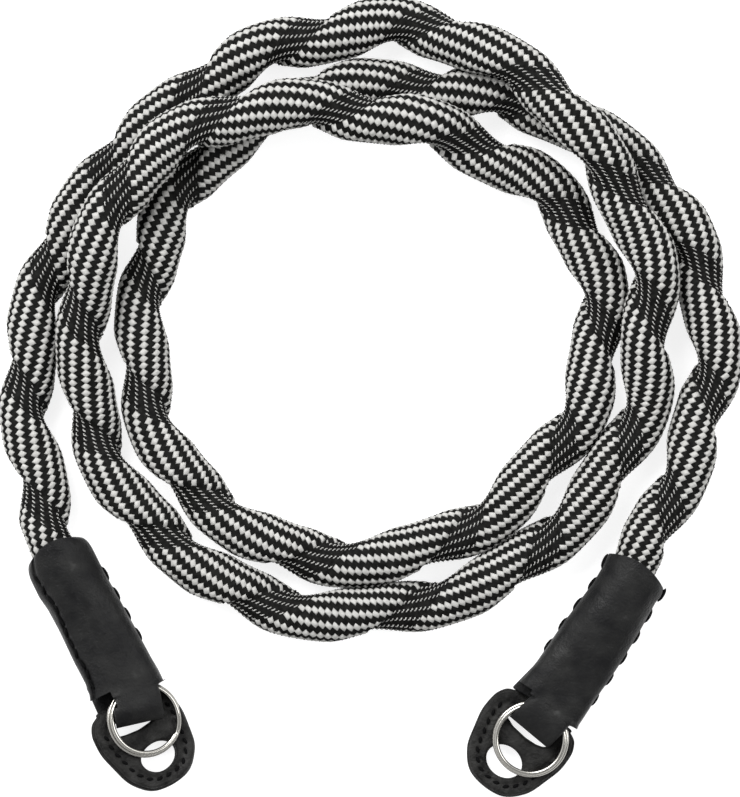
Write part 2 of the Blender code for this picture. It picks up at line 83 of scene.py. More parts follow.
# Route of the cord from the left sleeve's mouth to the right one's, millimetres: x, y, height of the middle
ROUTE = (
    (-64.2, -28.7, 6.4), (-66.4, -16.3, 5.7), (-69.0, -3.3, 5.6), (-68.3, 9.7, 5.6), (-65.7, 22.6, 5.6),
    (-60.3, 34.5, 5.6), (-53.1, 45.3, 5.6), (-44.0, 54.8, 5.6), (-33.7, 62.6, 5.6), (-22.7, 69.6, 5.6),
    (-9.8, 72.7, 5.6), (3.0, 75.1, 5.6), (15.7, 72.8, 8.4), (27.7, 67.2, 12.6), (38.0, 59.2, 15.9),
    (45.8, 48.9, 16.0), (52.3, 37.5, 12.8), (56.5, 25.4, 11.4), (55.9, 12.2, 9.2), (55.2, -0.6, 6.2),
    (49.4, -12.5, 6.0), (41.8, -22.9, 5.7), (32.1, -31.8, 5.6), (20.5, -38.1, 5.6), (8.2, -41.9, 5.6),
    (-4.8, -43.4, 5.6), (-17.6, -42.0, 5.6), (-29.8, -36.8, 5.6), (-40.0, -29.0, 5.6), (-49.0, -19.6, 5.65),
    (-54.9, -7.9, 5.9), (-57.2, 4.9, 8.1), (-57.5, 18.0, 11.4), (-54.9, 30.7, 14.8), (-49.0, 42.3, 15.9),
    (-40.0, 51.6, 15.2), (-27.9, 56.6, 16.9), (-15.1, 58.6, 17.2), (-2.1, 57.0, 16.2), (11.0, 55.0, 14.6),
    (22.8, 49.4, 9.0), (34.2, 43.3, 6.1), (42.3, 33.2, 5.7), (46.5, 21.3, 5.62), (45.4, 8.1, 5.6),
    (41.7, -4.4, 5.6), (33.5, -14.5, 5.6), (24.4, -23.6, 5.6), (12.5, -29.5, 5.6), (-0.3, -32.3, 5.6),
    (-13.4, -31.4, 5.6), (-25.4, -26.1, 5.6), (-35.5, -17.7, 5.6), (-42.9, -6.8, 5.6), (-45.6, 5.9, 5.6),
    (-45.6, 19.0, 5.6), (-42.8, 31.7, 5.6), (-37.0, 43.3, 5.6), (-27.3, 52.2, 5.6), (-16.3, 59.2, 5.6),
    (-3.8, 62.8, 5.6), (9.2, 62.0, 5.6), (22.4, 61.4, 5.6), (35.0, 57.8, 5.6), (46.6, 52.2, 5.6),
    (56.6, 43.6, 5.6), (63.8, 33.0, 5.6), (67.6, 20.5, 5.6), (69.3, 7.5, 5.6), (66.1, -5.1, 5.6),
    (61.8, -17.5, 5.7), (55.0, -29.7, 6.4),
)

# Where the neck crosses the top of the cord, counted in points of the route
NECK_AT = (
    0.53, 2.30, 4.17, 5.93, 7.74, 9.58, 11.52, 13.48, 15.43, 17.47, 19.61, 21.70, 23.93, 26.21, 28.14,
    29.98, 31.83, 33.81, 35.66, 37.67, 39.61, 41.59, 43.41, 45.38, 47.46, 49.78, 51.72, 53.54, 55.35,
    57.00, 58.97, 60.86, 62.63, 64.79, 66.46, 68.44, 70.27,
)

# Each end of the strap, millimetres and degrees: first what the part's source has, then what is only here
ENDS = {
    "left": {
        "mouth": (-63.2, -30.4), "heading": -63.6, "shoulder_turn": -8.0, "shoulder_side": 0.2,
        "tongue_lean": -16.9, "tongue_turn": -6.8, "roll": -14.0, "root_side": 1.9, "hole": (13.9586, 2.2073),
        "guard_heading": -60.8, "pitch": 2.5, "ring_offset": (-7.75, 0.75), "ring_end": 35.0,
        "curl": 0.17, "bow": 0.0,
        # How far the fold's end is turned more, and the share of the tongue where the fold starts
        "fold_turn": -7.0, "fold_from": 0.42,
        # Where the top panel is cut back, along and beside the sleeve, and how round the mouth is
        "notch": (30.4, -2.75), "round": 0.5,
        # The back panel's corner: how far along it reaches, and how far beside where it starts and ends
        "back": (33.9, -6.9, -7.2),
    },
    "right": {
        "mouth": (53.2, -34.5), "heading": -122.6, "shoulder_turn": 0.0, "shoulder_side": 0.0,
        "tongue_lean": -12.0, "tongue_turn": -7.2, "roll": 0.0, "root_side": 1.1, "hole": (14.5418, 0.6071),
        "guard_heading": -128.1, "pitch": 4.8, "ring_offset": (-7.0, 1.4), "ring_end": 160.0,
        "curl": 0.0, "bow": 0.6,
        "fold_turn": 0.0, "fold_from": 0.2,
        "notch": (31.3, -4.4), "round": 0.12,
        "back": (33.2, -6.6, -8.0),
    },
}

# Sleeve sections: place along the sleeve, width and height as shares of the sleeve's own, how square it is
SLEEVE_SECTIONS = (
    # along, width, height, squareness
    (0.00, 0.89, 1.00, 2.0),
    (0.12, 0.90, 0.99, 2.0),
    (0.30, 0.91, 0.95, 2.1),
    (0.52, 0.93, 0.85, 2.4),
    (0.76, 0.96, 0.74, 3.0),
    (1.00, 1.02, 0.656, 3.6),
)

# How much wider than those sections each sleeve is on its right and left side: place along it, millimetres
SLEEVE_SIDES = {
    "left": (
        # along, right, left
        (0.00, 0.10, 0.10), (0.10, 0.50, 0.20), (0.22, 0.50, 0.10), (0.32, 0.00, 0.10), (0.45, -0.20, 0.20),
        (0.70, -0.25, 0.20), (0.85, -0.55, 0.10), (0.93, -0.40, 0.15), (1.00, 0.20, 0.00),
    ),
    "right": (
        (0.00, -0.10, 0.50), (0.05, -0.40, 0.70), (0.10, -0.60, 0.30), (0.20, -0.60, 0.30),
        (0.30, -0.30, 0.30), (0.50, 0.10, 0.20), (0.70, 0.00, 0.00), (0.80, -0.25, -0.20),
        (0.90, -0.25, -0.20), (1.00, 0.10, -0.20),
    ),
}

# Guard outline from its top edge to its free end: place as a share of its length, half width as a share
GUARD_OUTLINE = (
    # along, half width
    (0.000, 0.56), (0.020, 0.69), (0.055, 0.81), (0.105, 0.91), (0.175, 0.975), (0.265, 1.00),
    (0.405, 0.995), (0.570, 0.915), (0.720, 0.83), (0.815, 0.73), (0.880, 0.625), (0.930, 0.52),
    (0.972, 0.37), (0.993, 0.19),
)

# The braid: columns of yarn round the cord, every third one white, and its pitch along the cord
COLUMNS = 36
WHITE_EVERY = 3
COLUMN_ANGLE = TURN / COLUMNS
STRIPE_DRIFT = radians(27)
BULGE_PITCH = 1.37 * MM
NECK_PITCH = 0.86 * MM
PITCH_CHANGE = radians(12)
DASH_HALF_ANGLE = radians(55)
NECK_LEAN = radians(16)
STEP_DOWN = 0.30 * MM
STEP_UP = 0.40 * MM
STEP_FADE = radians(38)
YARN_LOW = -0.36 * MM
YARN_HIGH = 0.02 * MM
WHITE_IN_SLEEVE = 3.0 * MM

# How far the stripes lie round the cord from that even drift: turns of the neck, degrees
STRIPE_SHIFT = (
    # turns, degrees
    (0.0, 8.0), (4.2, 7.5), (5.5, 0.0), (6.8, 11.0), (8.3, 20.5), (9.3, 20.5), (10.3, 28.0), (11.7, 36.0),
    (13.0, 34.0), (14.2, 48.0), (15.3, 58.0), (18.3, 61.5), (20.5, 53.0), (21.3, 37.0), (23.0, 47.5),
    (24.6, 33.5), (26.3, 38.5), (28.0, 49.5), (29.2, 55.0), (30.5, 47.0), (32.0, 50.0), (33.5, 48.0),
    (35.0, 42.0), (36.7, 34.0),
)

# The white yarns: two rings of points, with the reach of a crossing as 1, heights in millimetres
PILLOW_RINGS = (
    # tips across, tips along, between tips, height, height at the tips along
    (1.14, 1.24, 0.84, -0.32, -0.24),
    (0.84, 0.94, 0.66, -0.04, -0.07),
)
PILLOW_TOP = 0.04 * MM
PILLOW_UNDERSIDE = -0.6 * MM

# The slanted white stitches in the neck: outline as shares of half their length and width
DASH_OUTLINE = ((1.0, 0.0), (0.45, 0.85), (-0.55, 0.85), (-1.0, 0.0), (-0.45, -0.85), (0.55, -0.85))
DASH_LENGTH = 1.12 * MM
DASH_WIDTH = 0.36 * MM
DASH_SLANT = radians(45)
DASH_RIM = -0.22 * MM
DASH_TOP = 0.08 * MM
DASH_UNDERSIDE = -0.5 * MM

# The camera, straight above, and the height at which it frames the strap
CAMERA_HEIGHT = 3.0
FRAMED_AT = 0.006
FRAME_HEIGHT = 0.1602
SENSOR = 24.0

# The light and the floor
ROOM_LEVEL = 1.05
FROM_LEFT = 0.36
FROM_BACK = 0.42
FLOOR_HALF = 2.5
FLOOR_DROP = 0.2 * MM
FLOOR_GLOW = 0.80

# How bright the room is at each height, from level with the floor to straight above
ROOM_STOPS = ((0.0, 0.35), (0.30, 0.60), (0.62, 1.15), (0.85, 0.85), (0.97, 0.36))


def held(value):
    """A number held between nought and one."""
    return min(1.0, max(0.0, value))


def eased(share):
    """A share that starts and ends gently."""
    return share * share * (3.0 - 2.0 * share)


def read_rows(rows, at, column=1):
    """One column of a table, read between its rows."""
    return np.interp(at, [row[0] for row in rows], [row[column] for row in rows])


def walked(line):
    """How far along a line each of its points lies."""
    return np.concatenate([[0.0], np.cumsum(np.linalg.norm(np.diff(line, axis=0), axis=1))])


def read_line(line, length, at):
    """Points of a line at distances along it."""
    return np.stack([np.interp(at, length, line[:, k]) for k in range(line.shape[1])], axis=-1)


def level_axes(angle):
    """Level directions at an angle: ahead, and to the left."""
    ahead = Vector((cos(angle), sin(angle), 0.0))
    return ahead, Vector((-ahead.y, ahead.x, 0.0))


def natural_spline(values, at):
    """A smooth curve through values at 0, 1, 2 ..., read at some places, with its slope."""
    count = len(values)
    system = np.zeros((count, count))
    right = np.zeros(values.shape)
    system[0, 0] = 1.0
    system[-1, -1] = 1.0
    for row in range(1, count - 1):
        system[row, row - 1:row + 2] = (1.0, 4.0, 1.0)
        right[row] = 6.0 * (values[row - 1] - 2.0 * values[row] + values[row + 1])
    bend = np.linalg.solve(system, right)
    low = np.clip(np.floor(at).astype(int), 0, count - 2)
    b = (at - low)[:, None]
    a = 1.0 - b
    place = a * values[low] + b * values[low + 1]
    place += ((a ** 3 - a) * bend[low] + (b ** 3 - b) * bend[low + 1]) / 6.0
    slope = values[low + 1] - values[low]
    slope += ((1.0 - 3.0 * a ** 2) * bend[low] + (3.0 * b ** 2 - 1.0) * bend[low + 1]) / 6.0
    return place, slope


# Materials

def shader_material(name, colour, roughness, specular=0.5, metallic=0.0):
    """A plain material."""
    made = bpy.data.materials.new(name)
    made.use_nodes = True
    inputs = made.node_tree.nodes["Principled BSDF"].inputs
    inputs["Base Color"].default_value = (*colour, 1.0)
    inputs["Roughness"].default_value = roughness
    inputs["Metallic"].default_value = metallic
    inputs["Specular IOR Level"].default_value = specular
    return made


def texture_node(tree, kind, scale):
    """A texture in object coordinates."""
    made = tree.nodes.new(kind)
    made.inputs["Scale"].default_value = scale
    place = tree.nodes.new("ShaderNodeTexCoord")
    tree.links.new(place.outputs["Object"], made.inputs["Vector"])
    return made


def noise(tree, scale, detail):
    """Noise, as an output."""
    made = texture_node(tree, "ShaderNodeTexNoise", scale)
    made.inputs["Detail"].default_value = detail
    return made.outputs["Fac"]


def math_node(tree, operation, *values):
    """A math node fed by numbers and outputs, as an output."""
    made = tree.nodes.new("ShaderNodeMath")
    made.operation = operation
    for socket, value in zip(made.inputs, values):
        if isinstance(value, float):
            socket.default_value = value
        else:
            tree.links.new(value, socket)
    return made.outputs["Value"]


def vary_colour(made, scale, dark, light, detail):
    """Lets noise move the colour between two tones, and gives their ramp."""
    tree = made.node_tree
    ramp = tree.nodes.new("ShaderNodeValToRGB")
    for stop, position, colour in zip(ramp.color_ramp.elements, (0.32, 0.68), (dark, light)):
        stop.position = position
        stop.color = (*colour, 1.0)
    tree.links.new(noise(tree, scale, detail), ramp.inputs["Fac"])
    tree.links.new(ramp.outputs["Color"], tree.nodes["Principled BSDF"].inputs["Base Color"])
    return ramp


def add_bump(made, height, distance):
    """Adds a bump from a height."""
    tree = made.node_tree
    bump = tree.nodes.new("ShaderNodeBump")
    bump.inputs["Strength"].default_value = 0.6
    bump.inputs["Distance"].default_value = distance
    tree.links.new(height, bump.inputs["Height"])
    tree.links.new(bump.outputs["Normal"], tree.nodes["Principled BSDF"].inputs["Normal"])


def leather_material(name, dark, light, roughness, grain, depth):
    """Leather: two close tones, paler scuffs, uneven shine, pebbled grain and wrinkles."""
    made = shader_material(name, light, roughness, 0.11)
    worn = vary_colour(made, 260.0, dark, light, 5.0).color_ramp.elements.new(0.80)
    worn.color = tuple(2.6 * value for value in light) + (1.0,)
    tree = made.node_tree
    shine = tree.nodes.new("ShaderNodeMapRange")
    span = {"From Min": 0.35, "From Max": 0.65, "To Min": roughness - 0.10, "To Max": roughness + 0.14}
    for socket, value in span.items():
        shine.inputs[socket].default_value = value
    tree.links.new(noise(tree, 150.0, 6.0), shine.inputs["Value"])
    tree.links.new(shine.outputs["Result"], tree.nodes["Principled BSDF"].inputs["Roughness"])
    pebbles = texture_node(tree, "ShaderNodeTexVoronoi", grain)
    pebbles.feature = "SMOOTH_F1"
    height = math_node(tree, "ADD", pebbles.outputs["Distance"], noise(tree, grain * 2.2, 4.0))
    swell = math_node(tree, "MULTIPLY", noise(tree, grain * 0.22, 2.0), 2.5)
    add_bump(made, math_node(tree, "ADD", height, swell), depth)
    return made


def yarn_material(name, dark, light, specular):
    """Spun yarn: two close tones and fine fibres."""
    made = shader_material(name, light, 0.9, specular)
    vary_colour(made, 900.0, dark, light, 4.0)
    add_bump(made, noise(made.node_tree, 3600.0, 3.0), 0.08 * MM)
    return made


WHITE_YARN = yarn_material("white_yarn", (0.305, 0.301, 0.289), (0.40, 0.396, 0.380), 0.1)
BLACK_YARN = yarn_material("black_yarn", (0.0035, 0.0035, 0.0033), (0.0105, 0.0105, 0.0098), 0.06)
SLEEVE_SKIN = leather_material(
    "sleeve_leather", (0.0050, 0.0050, 0.0054), (0.0125, 0.0125, 0.0122), 0.42, 2300.0, 0.14 * MM,
)
GUARD_SKIN = leather_material(
    "guard_leather_grain", (0.0028, 0.0027, 0.0026), (0.0208, 0.0204, 0.0196), 0.52, 1500.0, 0.30 * MM,
)
THREAD = shader_material("black_thread", (0.0022, 0.0022, 0.0024), 0.75, 0.05)
STEEL = shader_material("polished_steel", (0.38, 0.368, 0.34), 0.2, metallic=1.0)


# Meshes

def rework(mesh, change):
    """Changes a mesh through its editable copy."""
    work = bmesh.new()
    work.from_mesh(mesh)
    change(work)
    work.to_mesh(mesh)
    work.free()


def mesh_object(name, points, faces, paint):
    """A smooth object from points and faces, with every face turned outwards."""
    mesh = bpy.data.meshes.new(name)
    mesh.from_pydata(np.asarray(points, float).tolist(), [], faces)
    rework(mesh, lambda work: bmesh.ops.recalc_face_normals(work, faces=work.faces))
    mesh.materials.append(paint)
    mesh.shade_smooth()
    item = bpy.data.objects.new(name, mesh)
    bpy.context.scene.collection.objects.link(item)
    return item


def sharpen(item, limit):
    """Marks the edges that turn more than a limit, in degrees, as sharp."""
    def mark(work):
        for edge in work.edges:
            edge.smooth = len(edge.link_faces) != 2 or edge.calc_face_angle(0.0) <= radians(limit)

    rework(item.data, mark)


def finish_piece(item, slot, *nodes):
    """Lets a piece ride on the strap, and hides the model's parts that it stands for. Its finish is not used.
    """
    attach(item, "root")
    if nodes:
        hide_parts(*nodes)
    return item


def wall_faces(rings, sides):
    """Faces between neighbouring rings of points."""
    faces = []
    for base in range(0, (rings - 1) * sides, sides):
        for k in range(sides):
            after = (k + 1) % sides
            faces.append((base + k, base + after, base + sides + after, base + sides + k))
    return faces


def bead_faces(rings, sides):
    """Faces of a closed shape: rings of points, then one over the last ring, then one under the first."""
    top = rings * sides
    faces = wall_faces(rings, sides)
    for k in range(sides):
        after = (k + 1) % sides
        faces += [(k, after, top + 1), (top - sides + k, top - sides + after, top)]
    return faces


def copies(shape_faces, per_shape, count):
    """Faces of many copies of one small shape."""
    return [tuple(k * per_shape + i for i in face) for k in range(count) for face in shape_faces]


def loft_object(name, rings, paint):
    """A closed body through rings of equal count."""
    count = len(rings[0])
    faces = wall_faces(len(rings), count)
    for base in (0, (len(rings) - 1) * count):
        for k in range(count // 2):
            corners = (k, k + 1, (count - k - 1) % count, (count - k) % count)
            faces.append(tuple(base + corner for corner in dict.fromkeys(corners)))
    return mesh_object(name, [tuple(p) for ring in rings for p in ring], faces, paint)


# Where things lie, as in the part's source

def sleeve_point(end, along, side=0.0, height=0.0):
    """A point in a sleeve's own directions: along it from its mouth, to its side, and up."""
    forward, across = level_axes(radians(end["heading"]))
    mouth = Vector((end["mouth"][0] * MM, end["mouth"][1] * MM, 0.0)) - CENTRE
    return mouth + forward * along + across * side + UP * height


def sleeve_side(end, along):
    """How far the middle of the sleeve lies beside its straight line, at a distance along it."""
    share = held(along / SLEEVE_LENGTH)
    return (end["shoulder_side"] * share + end["bow"] * sin(pi * share)) * MM


def sleeve_middle(along):
    """How high the middle of the sleeve lies above the floor."""
    return read_rows(SLEEVE_SECTIONS, along / SLEEVE_LENGTH, 2) * SLEEVE_HEIGHT / 2.0


def tongue_place(end, beyond, side=0.0):
    """The point on the floor at a distance beyond the tongue's root, and beside its middle line."""
    forward, across = level_axes(radians(end["heading"] + end["tongue_lean"]))
    return sleeve_point(end, SLEEVE_LENGTH, end["root_side"] * MM) + forward * beyond + across * side


def slope_at(end, share):
    """How much a sleeve rises to its side, at a share of its length: its tongue has all of that slope."""
    return tan(radians(end["roll"])) * held((share - 0.45) / 0.55)


def middle_height(end, along):
    """Height of the middle of a sleeve or tongue, so that its lowest line lies on the floor."""
    lift = TONGUE_WIDTH / 2.0 * abs(slope_at(end, along / SLEEVE_LENGTH))
    return lift + (TONGUE_HEIGHT / 2.0 if along > SLEEVE_LENGTH else sleeve_middle(along))


def guard_frame(end):
    """The guard's own directions: x to its free end, y across it, z up out of its face, hole at 0, 0."""
    tongue_middle = middle_height(end, SLEEVE_LENGTH + TONGUE_LENGTH)
    below = TONGUE_HEIGHT / 2.0 - LEATHER - GAP - GUARD_LAYER - GUARD_LAYER_GAP / 2.0
    turned = Matrix.Rotation(radians(end["guard_heading"]), 4, "Z")
    turned = turned @ Matrix.Rotation(radians(end["pitch"]), 4, "Y")
    turned = turned @ Matrix.Rotation(radians(end["roll"]), 4, "X")
    normal = turned.to_3x3() @ UP
    hole = tongue_place(end, end["hole"][0] * MM, end["hole"][1] * MM)
    reach = tongue_place(end, 0.5 * TONGUE_LENGTH) - hole
    hole.z = tongue_middle - below + GUARD_LIFT + (normal.x * reach.x + normal.y * reach.y) / normal.z
    return Matrix.Translation(hole) @ turned


# The cord

class Cord:
    """The cord's line, its directions and the turns of its neck, read at any length."""

    def __init__(self):
        inside = (CORD_IN_SLEEVE, CORD_IN_SLEEVE * 0.55, CORD_IN_SLEEVE * 0.2)
        ends = {}
        for side, end in ENDS.items():
            ends[side] = [sleeve_point(end, d, sleeve_side(end, d), sleeve_middle(d)) for d in inside]
        route = [Vector((x * MM, y * MM, z * MM)) - CENTRE for x, y, z in ROUTE]
        points = ends["left"] + route + ends["right"][::-1]
        fine = np.linspace(0.0, len(points) - 1.0, 16001)
        self.middle, forward = natural_spline(np.array([tuple(p) for p in points]), fine)
        self.length = walked(self.middle)
        self.total = self.length[-1]
        forward /= np.linalg.norm(forward, axis=1)[:, None]
        up = np.array(UP) - forward * forward[:, 2:3]
        self.up = up / np.linalg.norm(up, axis=1)[:, None]
        self.left = np.cross(self.up, forward)
        neck = np.array(NECK_AT) + len(inside)
        turns = np.interp(fine, neck, np.arange(len(neck)))
        before = (fine - neck[0]) / (neck[1] - neck[0])
        after = len(neck) - 1 + (fine - neck[-1]) / (neck[-1] - neck[-2])
        turns = np.where(fine < neck[0], before, turns)
        self.turns = np.where(fine > neck[-1], after, turns)

    def from_neck(self, at, angle):
        """How far round from the middle of the neck, between minus and plus half a turn."""
        turns = np.interp(at, self.length, self.turns)
        return (angle - TURN * turns + pi) % TURN - pi

    def depth_in(self, at):
        """How deep a place on the cord lies inside a sleeve."""
        return np.maximum(CORD_IN_SLEEVE - at, at - (self.total - CORD_IN_SLEEVE))

    def radius(self, at, angle):
        """The cord's radius at a length along it and an angle round it."""
        depth_in = self.depth_in(at)
        places = (-MOUTH_ARCH - CORD_TAPER, -MOUTH_ARCH, 0.6 * CORD_IN_SLEEVE, CORD_IN_SLEEVE)
        wide = (CORD_RADIUS, CORD_END_RADIUS, CORD_END_RADIUS * 0.88, CORD_TIP_RADIUS)
        widest = np.interp(depth_in, places, wide)
        groove = np.interp(depth_in, places, (NECK_DEPTH, NECK_DEPTH * 0.15, 0.0, 0.0))
        round_neck = self.from_neck(at, angle)
        leaning = np.abs(round_neck + NECK_LEAN * (1.0 - np.abs(round_neck) / pi))
        share = 0.5 + 0.5 * np.cos(pi * np.minimum(1.0, leaning / NECK_HALF_ANGLE))
        past = -round_neck - DASH_HALF_ANGLE
        before_step = -STEP_DOWN * np.clip(1.0 + past / DASH_HALF_ANGLE, 0.0, 1.0)
        step = np.where(past < 0.0, before_step, STEP_UP * np.exp(-np.maximum(past, 0.0) / STEP_FADE))
        return widest - groove * share + step * groove / NECK_DEPTH

    def surface(self, at, angle, height):
        """Points on the cord's surface, raised by a height."""
        out = np.cos(angle)[..., None] * read_line(self.up, self.length, at)
        out += np.sin(angle)[..., None] * read_line(self.left, self.length, at)
        reach = self.radius(at, angle) + height
        points = read_line(self.middle, self.length, at) + reach[..., None] * out
        return points.reshape(-1, 3)

    def column_angle(self, at, column):
        """The angle of a column of yarn, which drifts round the cord."""
        turns = np.interp(at, self.length, self.turns)
        return np.radians(read_rows(STRIPE_SHIFT, turns)) + column * COLUMN_ANGLE - STRIPE_DRIFT * turns


def braid_lattice(cord):
    """Where the yarns cross: the length along the cord for each column and half pitch."""
    counts = []
    for column in range(COLUMNS):
        away = np.abs(cord.from_neck(cord.length, cord.column_angle(cord.length, column)))
        bulge = np.clip((away - DASH_HALF_ANGLE) / PITCH_CHANGE + 0.5, 0.0, 1.0)
        rate = 2.0 / (NECK_PITCH + (BULGE_PITCH - NECK_PITCH) * bulge)
        step = np.diff(cord.length) * 0.5 * (rate[1:] + rate[:-1])
        counts.append(np.concatenate([[0.0], np.cumsum(step)]))
    rows = int(min(count[-1] for count in counts))
    return np.array([np.interp(np.arange(rows + 1), count, cord.length) for count in counts])


def make_cord_body(cord, lattice):
    """The black yarns: one closed tube, raised at the middle of every yarn and low where four meet."""
    columns, rows = lattice.shape
    column = np.arange(columns)[:, None]
    raised = (column + np.arange(rows)) % 2 == 0
    points = cord.surface(lattice, cord.column_angle(lattice, column), np.where(raised, YARN_HIGH, YARN_LOW))

    def corner(c, r):
        return (c % columns) * rows + r

    faces = []
    for c in range(columns):
        for r in range(rows - 1):
            a, b = corner(c, r), corner(c + 1, r)
            e, d = corner(c, r + 1), corner(c + 1, r + 1)
            if (c + r) % 2 == 0:
                faces += [(a, b, e), (b, d, e)]
            else:
                faces += [(a, b, d), (a, d, e)]
    for r in (0, rows - 1):
        faces.append(tuple(corner(c, r) for c in range(columns)))
    return mesh_object("cord_black_yarn", points, faces, BLACK_YARN)


def white_cells(cord, lattice):
    """The middles of the white yarns: length, angle, and reach to the next crossing either way."""
    cells = []
    columns, rows = lattice.shape
    for column in range(0, columns, WHITE_EVERY):
        row = np.arange(1, rows - 1)
        row = row[(column + row) % 2 == 0]
        at = lattice[column, row]
        reach = 0.5 * (lattice[column, row + 1] - lattice[column, row - 1])
        skew = 0.5 * (lattice[(column + 1) % columns, row] - lattice[column - 1, row])
        cells.append(np.stack([at, cord.column_angle(at, column), reach, skew], axis=1))
    cells = np.concatenate(cells)
    cells = cells[cord.depth_in(cells[:, 0]) < WHITE_IN_SLEEVE]
    in_neck = np.abs(cord.from_neck(cells[:, 0], cells[:, 1])) < DASH_HALF_ANGLE
    return cells[~in_neck], cells[in_neck]


def white_yarns(name, cord, at, angle, shape, rings):
    """Copies of one small shape: where each of its points lies along and round the cord."""
    points = cord.surface(at, angle, np.broadcast_to(shape[:, 2], at.shape))
    sides = (len(shape) - 2) // rings
    return mesh_object(name, points, copies(bead_faces(rings, sides), len(shape), len(at)), WHITE_YARN)


def make_pillows(name, cord, cells):
    """Puffy white yarns: a rounded diamond rim, a ring near the top, a middle and an underside."""
    shape = []
    for across, along, between, height, tip_height in PILLOW_RINGS:
        corners = ((across, height), (between, height), (along, tip_height), (between, height))
        for k in range(8):
            reach, level = corners[k % 4]
            shape.append((reach * cos(TURN * k / 8), reach * sin(TURN * k / 8), level * MM))
    shape = np.array(shape + [(0.0, 0.0, PILLOW_TOP), (0.0, 0.0, PILLOW_UNDERSIDE)])
    at = cells[:, 0:1] + shape[:, 1] * cells[:, 2:3] + shape[:, 0] * cells[:, 3:4]
    return white_yarns(name, cord, at, cells[:, 1:2] + shape[:, 0] * COLUMN_ANGLE, shape, 2)


def make_dashes(name, cord, cells):
    """The short slanted white yarns in the neck."""
    c, s = cos(DASH_SLANT), sin(DASH_SLANT)
    outline = np.array(DASH_OUTLINE) * (0.5 * DASH_LENGTH, 0.5 * DASH_WIDTH) @ ((c, s), (-s, c))
    shape = [(x, y, DASH_RIM) for x, y in outline]
    shape = np.array(shape + [(0.0, 0.0, DASH_TOP), (0.0, 0.0, DASH_UNDERSIDE)])
    angle = cells[:, 1:2] + shape[:, 1] / cord.radius(cells[:, 0], cells[:, 1])[:, None]
    return white_yarns(name, cord, cells[:, 0:1] + shape[:, 0], angle, shape, 1)


def make_cord():
    """The whole cord, which goes from one sleeve into the other."""
    cord = Cord()
    lattice = braid_lattice(cord)
    body = finish_piece(make_cord_body(cord, lattice), "braided_cord", "braided_cord")
    bulge, neck = white_cells(cord, lattice)
    half = cord.total / 2.0
    white = [
        make_pillows("cord_white_yarn_first", cord, bulge[bulge[:, 0] < half]),
        make_pillows("cord_white_yarn_second", cord, bulge[bulge[:, 0] >= half]),
        make_dashes("cord_neck_stitches", cord, neck),
    ]
    for item in white:
        finish_piece(item, "braided_cord")


# Leather

SECTION_QUARTER = 36
SLEEVE_ROWS = 64
SECTION_BLEND = 0.07
MOUTH_ROUND = 2.6 * MM
SEAM_DEPTH = 0.75 * MM
SEAM_WIDTH = 0.045
WIDTH_TO_LENGTH = 0.24
STITCH_SUNK = 0.12 * MM

# Thread stitches: length, width, height
EDGE_STITCH = (3.3 * MM, 1.0 * MM, 1.5 * MM)
SEAM_STITCH = (2.3 * MM, 0.62 * MM, 0.5 * MM)
GUARD_STITCH = (1.45 * MM, 0.66 * MM, 0.5 * MM)

# Where the sewn seam runs on top of the left sleeve: place along the sleeve, share of the half width
SEAM_LINE = (
    # along, across
    (0.00, -0.76), (0.11, -0.84), (0.26, -0.76), (0.36, -0.76), (0.48, -0.82), (0.65, -0.83), (0.76, -0.78),
    (0.87, -0.82), (1.00, -0.90),
)

# Soft dents and creases in each sleeve: along and across as shares, size along and across, depth, turn
SLEEVE_DENTS = {
    "left": (
        # along, across, long, wide, depth, turn
        (0.10, 0.55, 0.05, 0.20, 0.25, 20.0),
        (0.55, 0.35, 0.30, 0.16, 0.18, 0.0),
        (0.80, 0.60, 0.14, 0.10, 0.22, 0.0),
        (0.20, -0.30, 0.16, 0.09, 0.16, 6.0),
        (0.42, 0.02, 0.20, 0.07, 0.14, -4.0),
        (0.72, -0.05, 0.16, 0.08, 0.16, 5.0),
        (0.93, -0.25, 0.05, 0.30, 0.20, 12.0),
    ),
    "right": (
        (0.12, 0.45, 0.05, 0.18, 0.16, 30.0),
        (0.88, -0.10, 0.05, 0.40, 0.20, 25.0),
        (0.96, 0.30, 0.03, 0.30, 0.22, -15.0),
        (0.60, -0.62, 0.35, 0.10, 0.16, 0.0),
        (0.86, 0.42, 0.035, 0.22, 0.16, 28.0),
        (0.92, 0.02, 0.025, 0.26, 0.14, 20.0),
        (0.98, -0.22, 0.03, 0.34, 0.18, 8.0),
    ),
}

# Stitches on the sleeves' edges: first and last as shares of the length, how many, how far out
EDGE_STITCHES = (
    # sleeve, side of it, first, last, count, stand out in mm
    ("left", 1.0, 0.27, 0.69, 4, 0.02),
    ("right", 1.0, 0.04, 0.815, 6, 0.02),
    ("right", -1.0, 0.053, 0.683, 5, 0.05),
)


def smooth_section(share):
    """Width, height and squareness of a sleeve at a share of its length, smoothed."""
    spread = np.clip(share + np.linspace(-SECTION_BLEND, SECTION_BLEND, 9), 0.0, 1.0)
    return [float(np.mean(read_rows(SLEEVE_SECTIONS, spread, column))) for column in (1, 2, 3)]


def section_ring(half_width, half_height, squareness, quarter):
    """Points of a rounded section: side, up, and both as shares of the half sizes."""
    ring = []
    for k in range(4 * quarter):
        angle = TURN * k / (4 * quarter)
        c, s = cos(angle), sin(angle)
        x = copysign(abs(c) ** (2.0 / squareness), c)
        y = copysign(abs(s) ** (2.0 / squareness), s)
        ring.append((half_width * x, half_height * y, x, y))
    return ring


def edge_shift(side, share, across):
    """How much wider than its sections a sleeve is on one of its sides."""
    return read_rows(SLEEVE_SIDES[side], share, 2 if across > 0.0 else 1) * MM


def fold_height(end, share):
    """How high the tongue stands at a share of its length, as a share: it rolls over at its end."""
    return 1.0 - 0.5 * max(0.0, (share - end["fold_from"]) / (1.0 - end["fold_from"])) ** 2


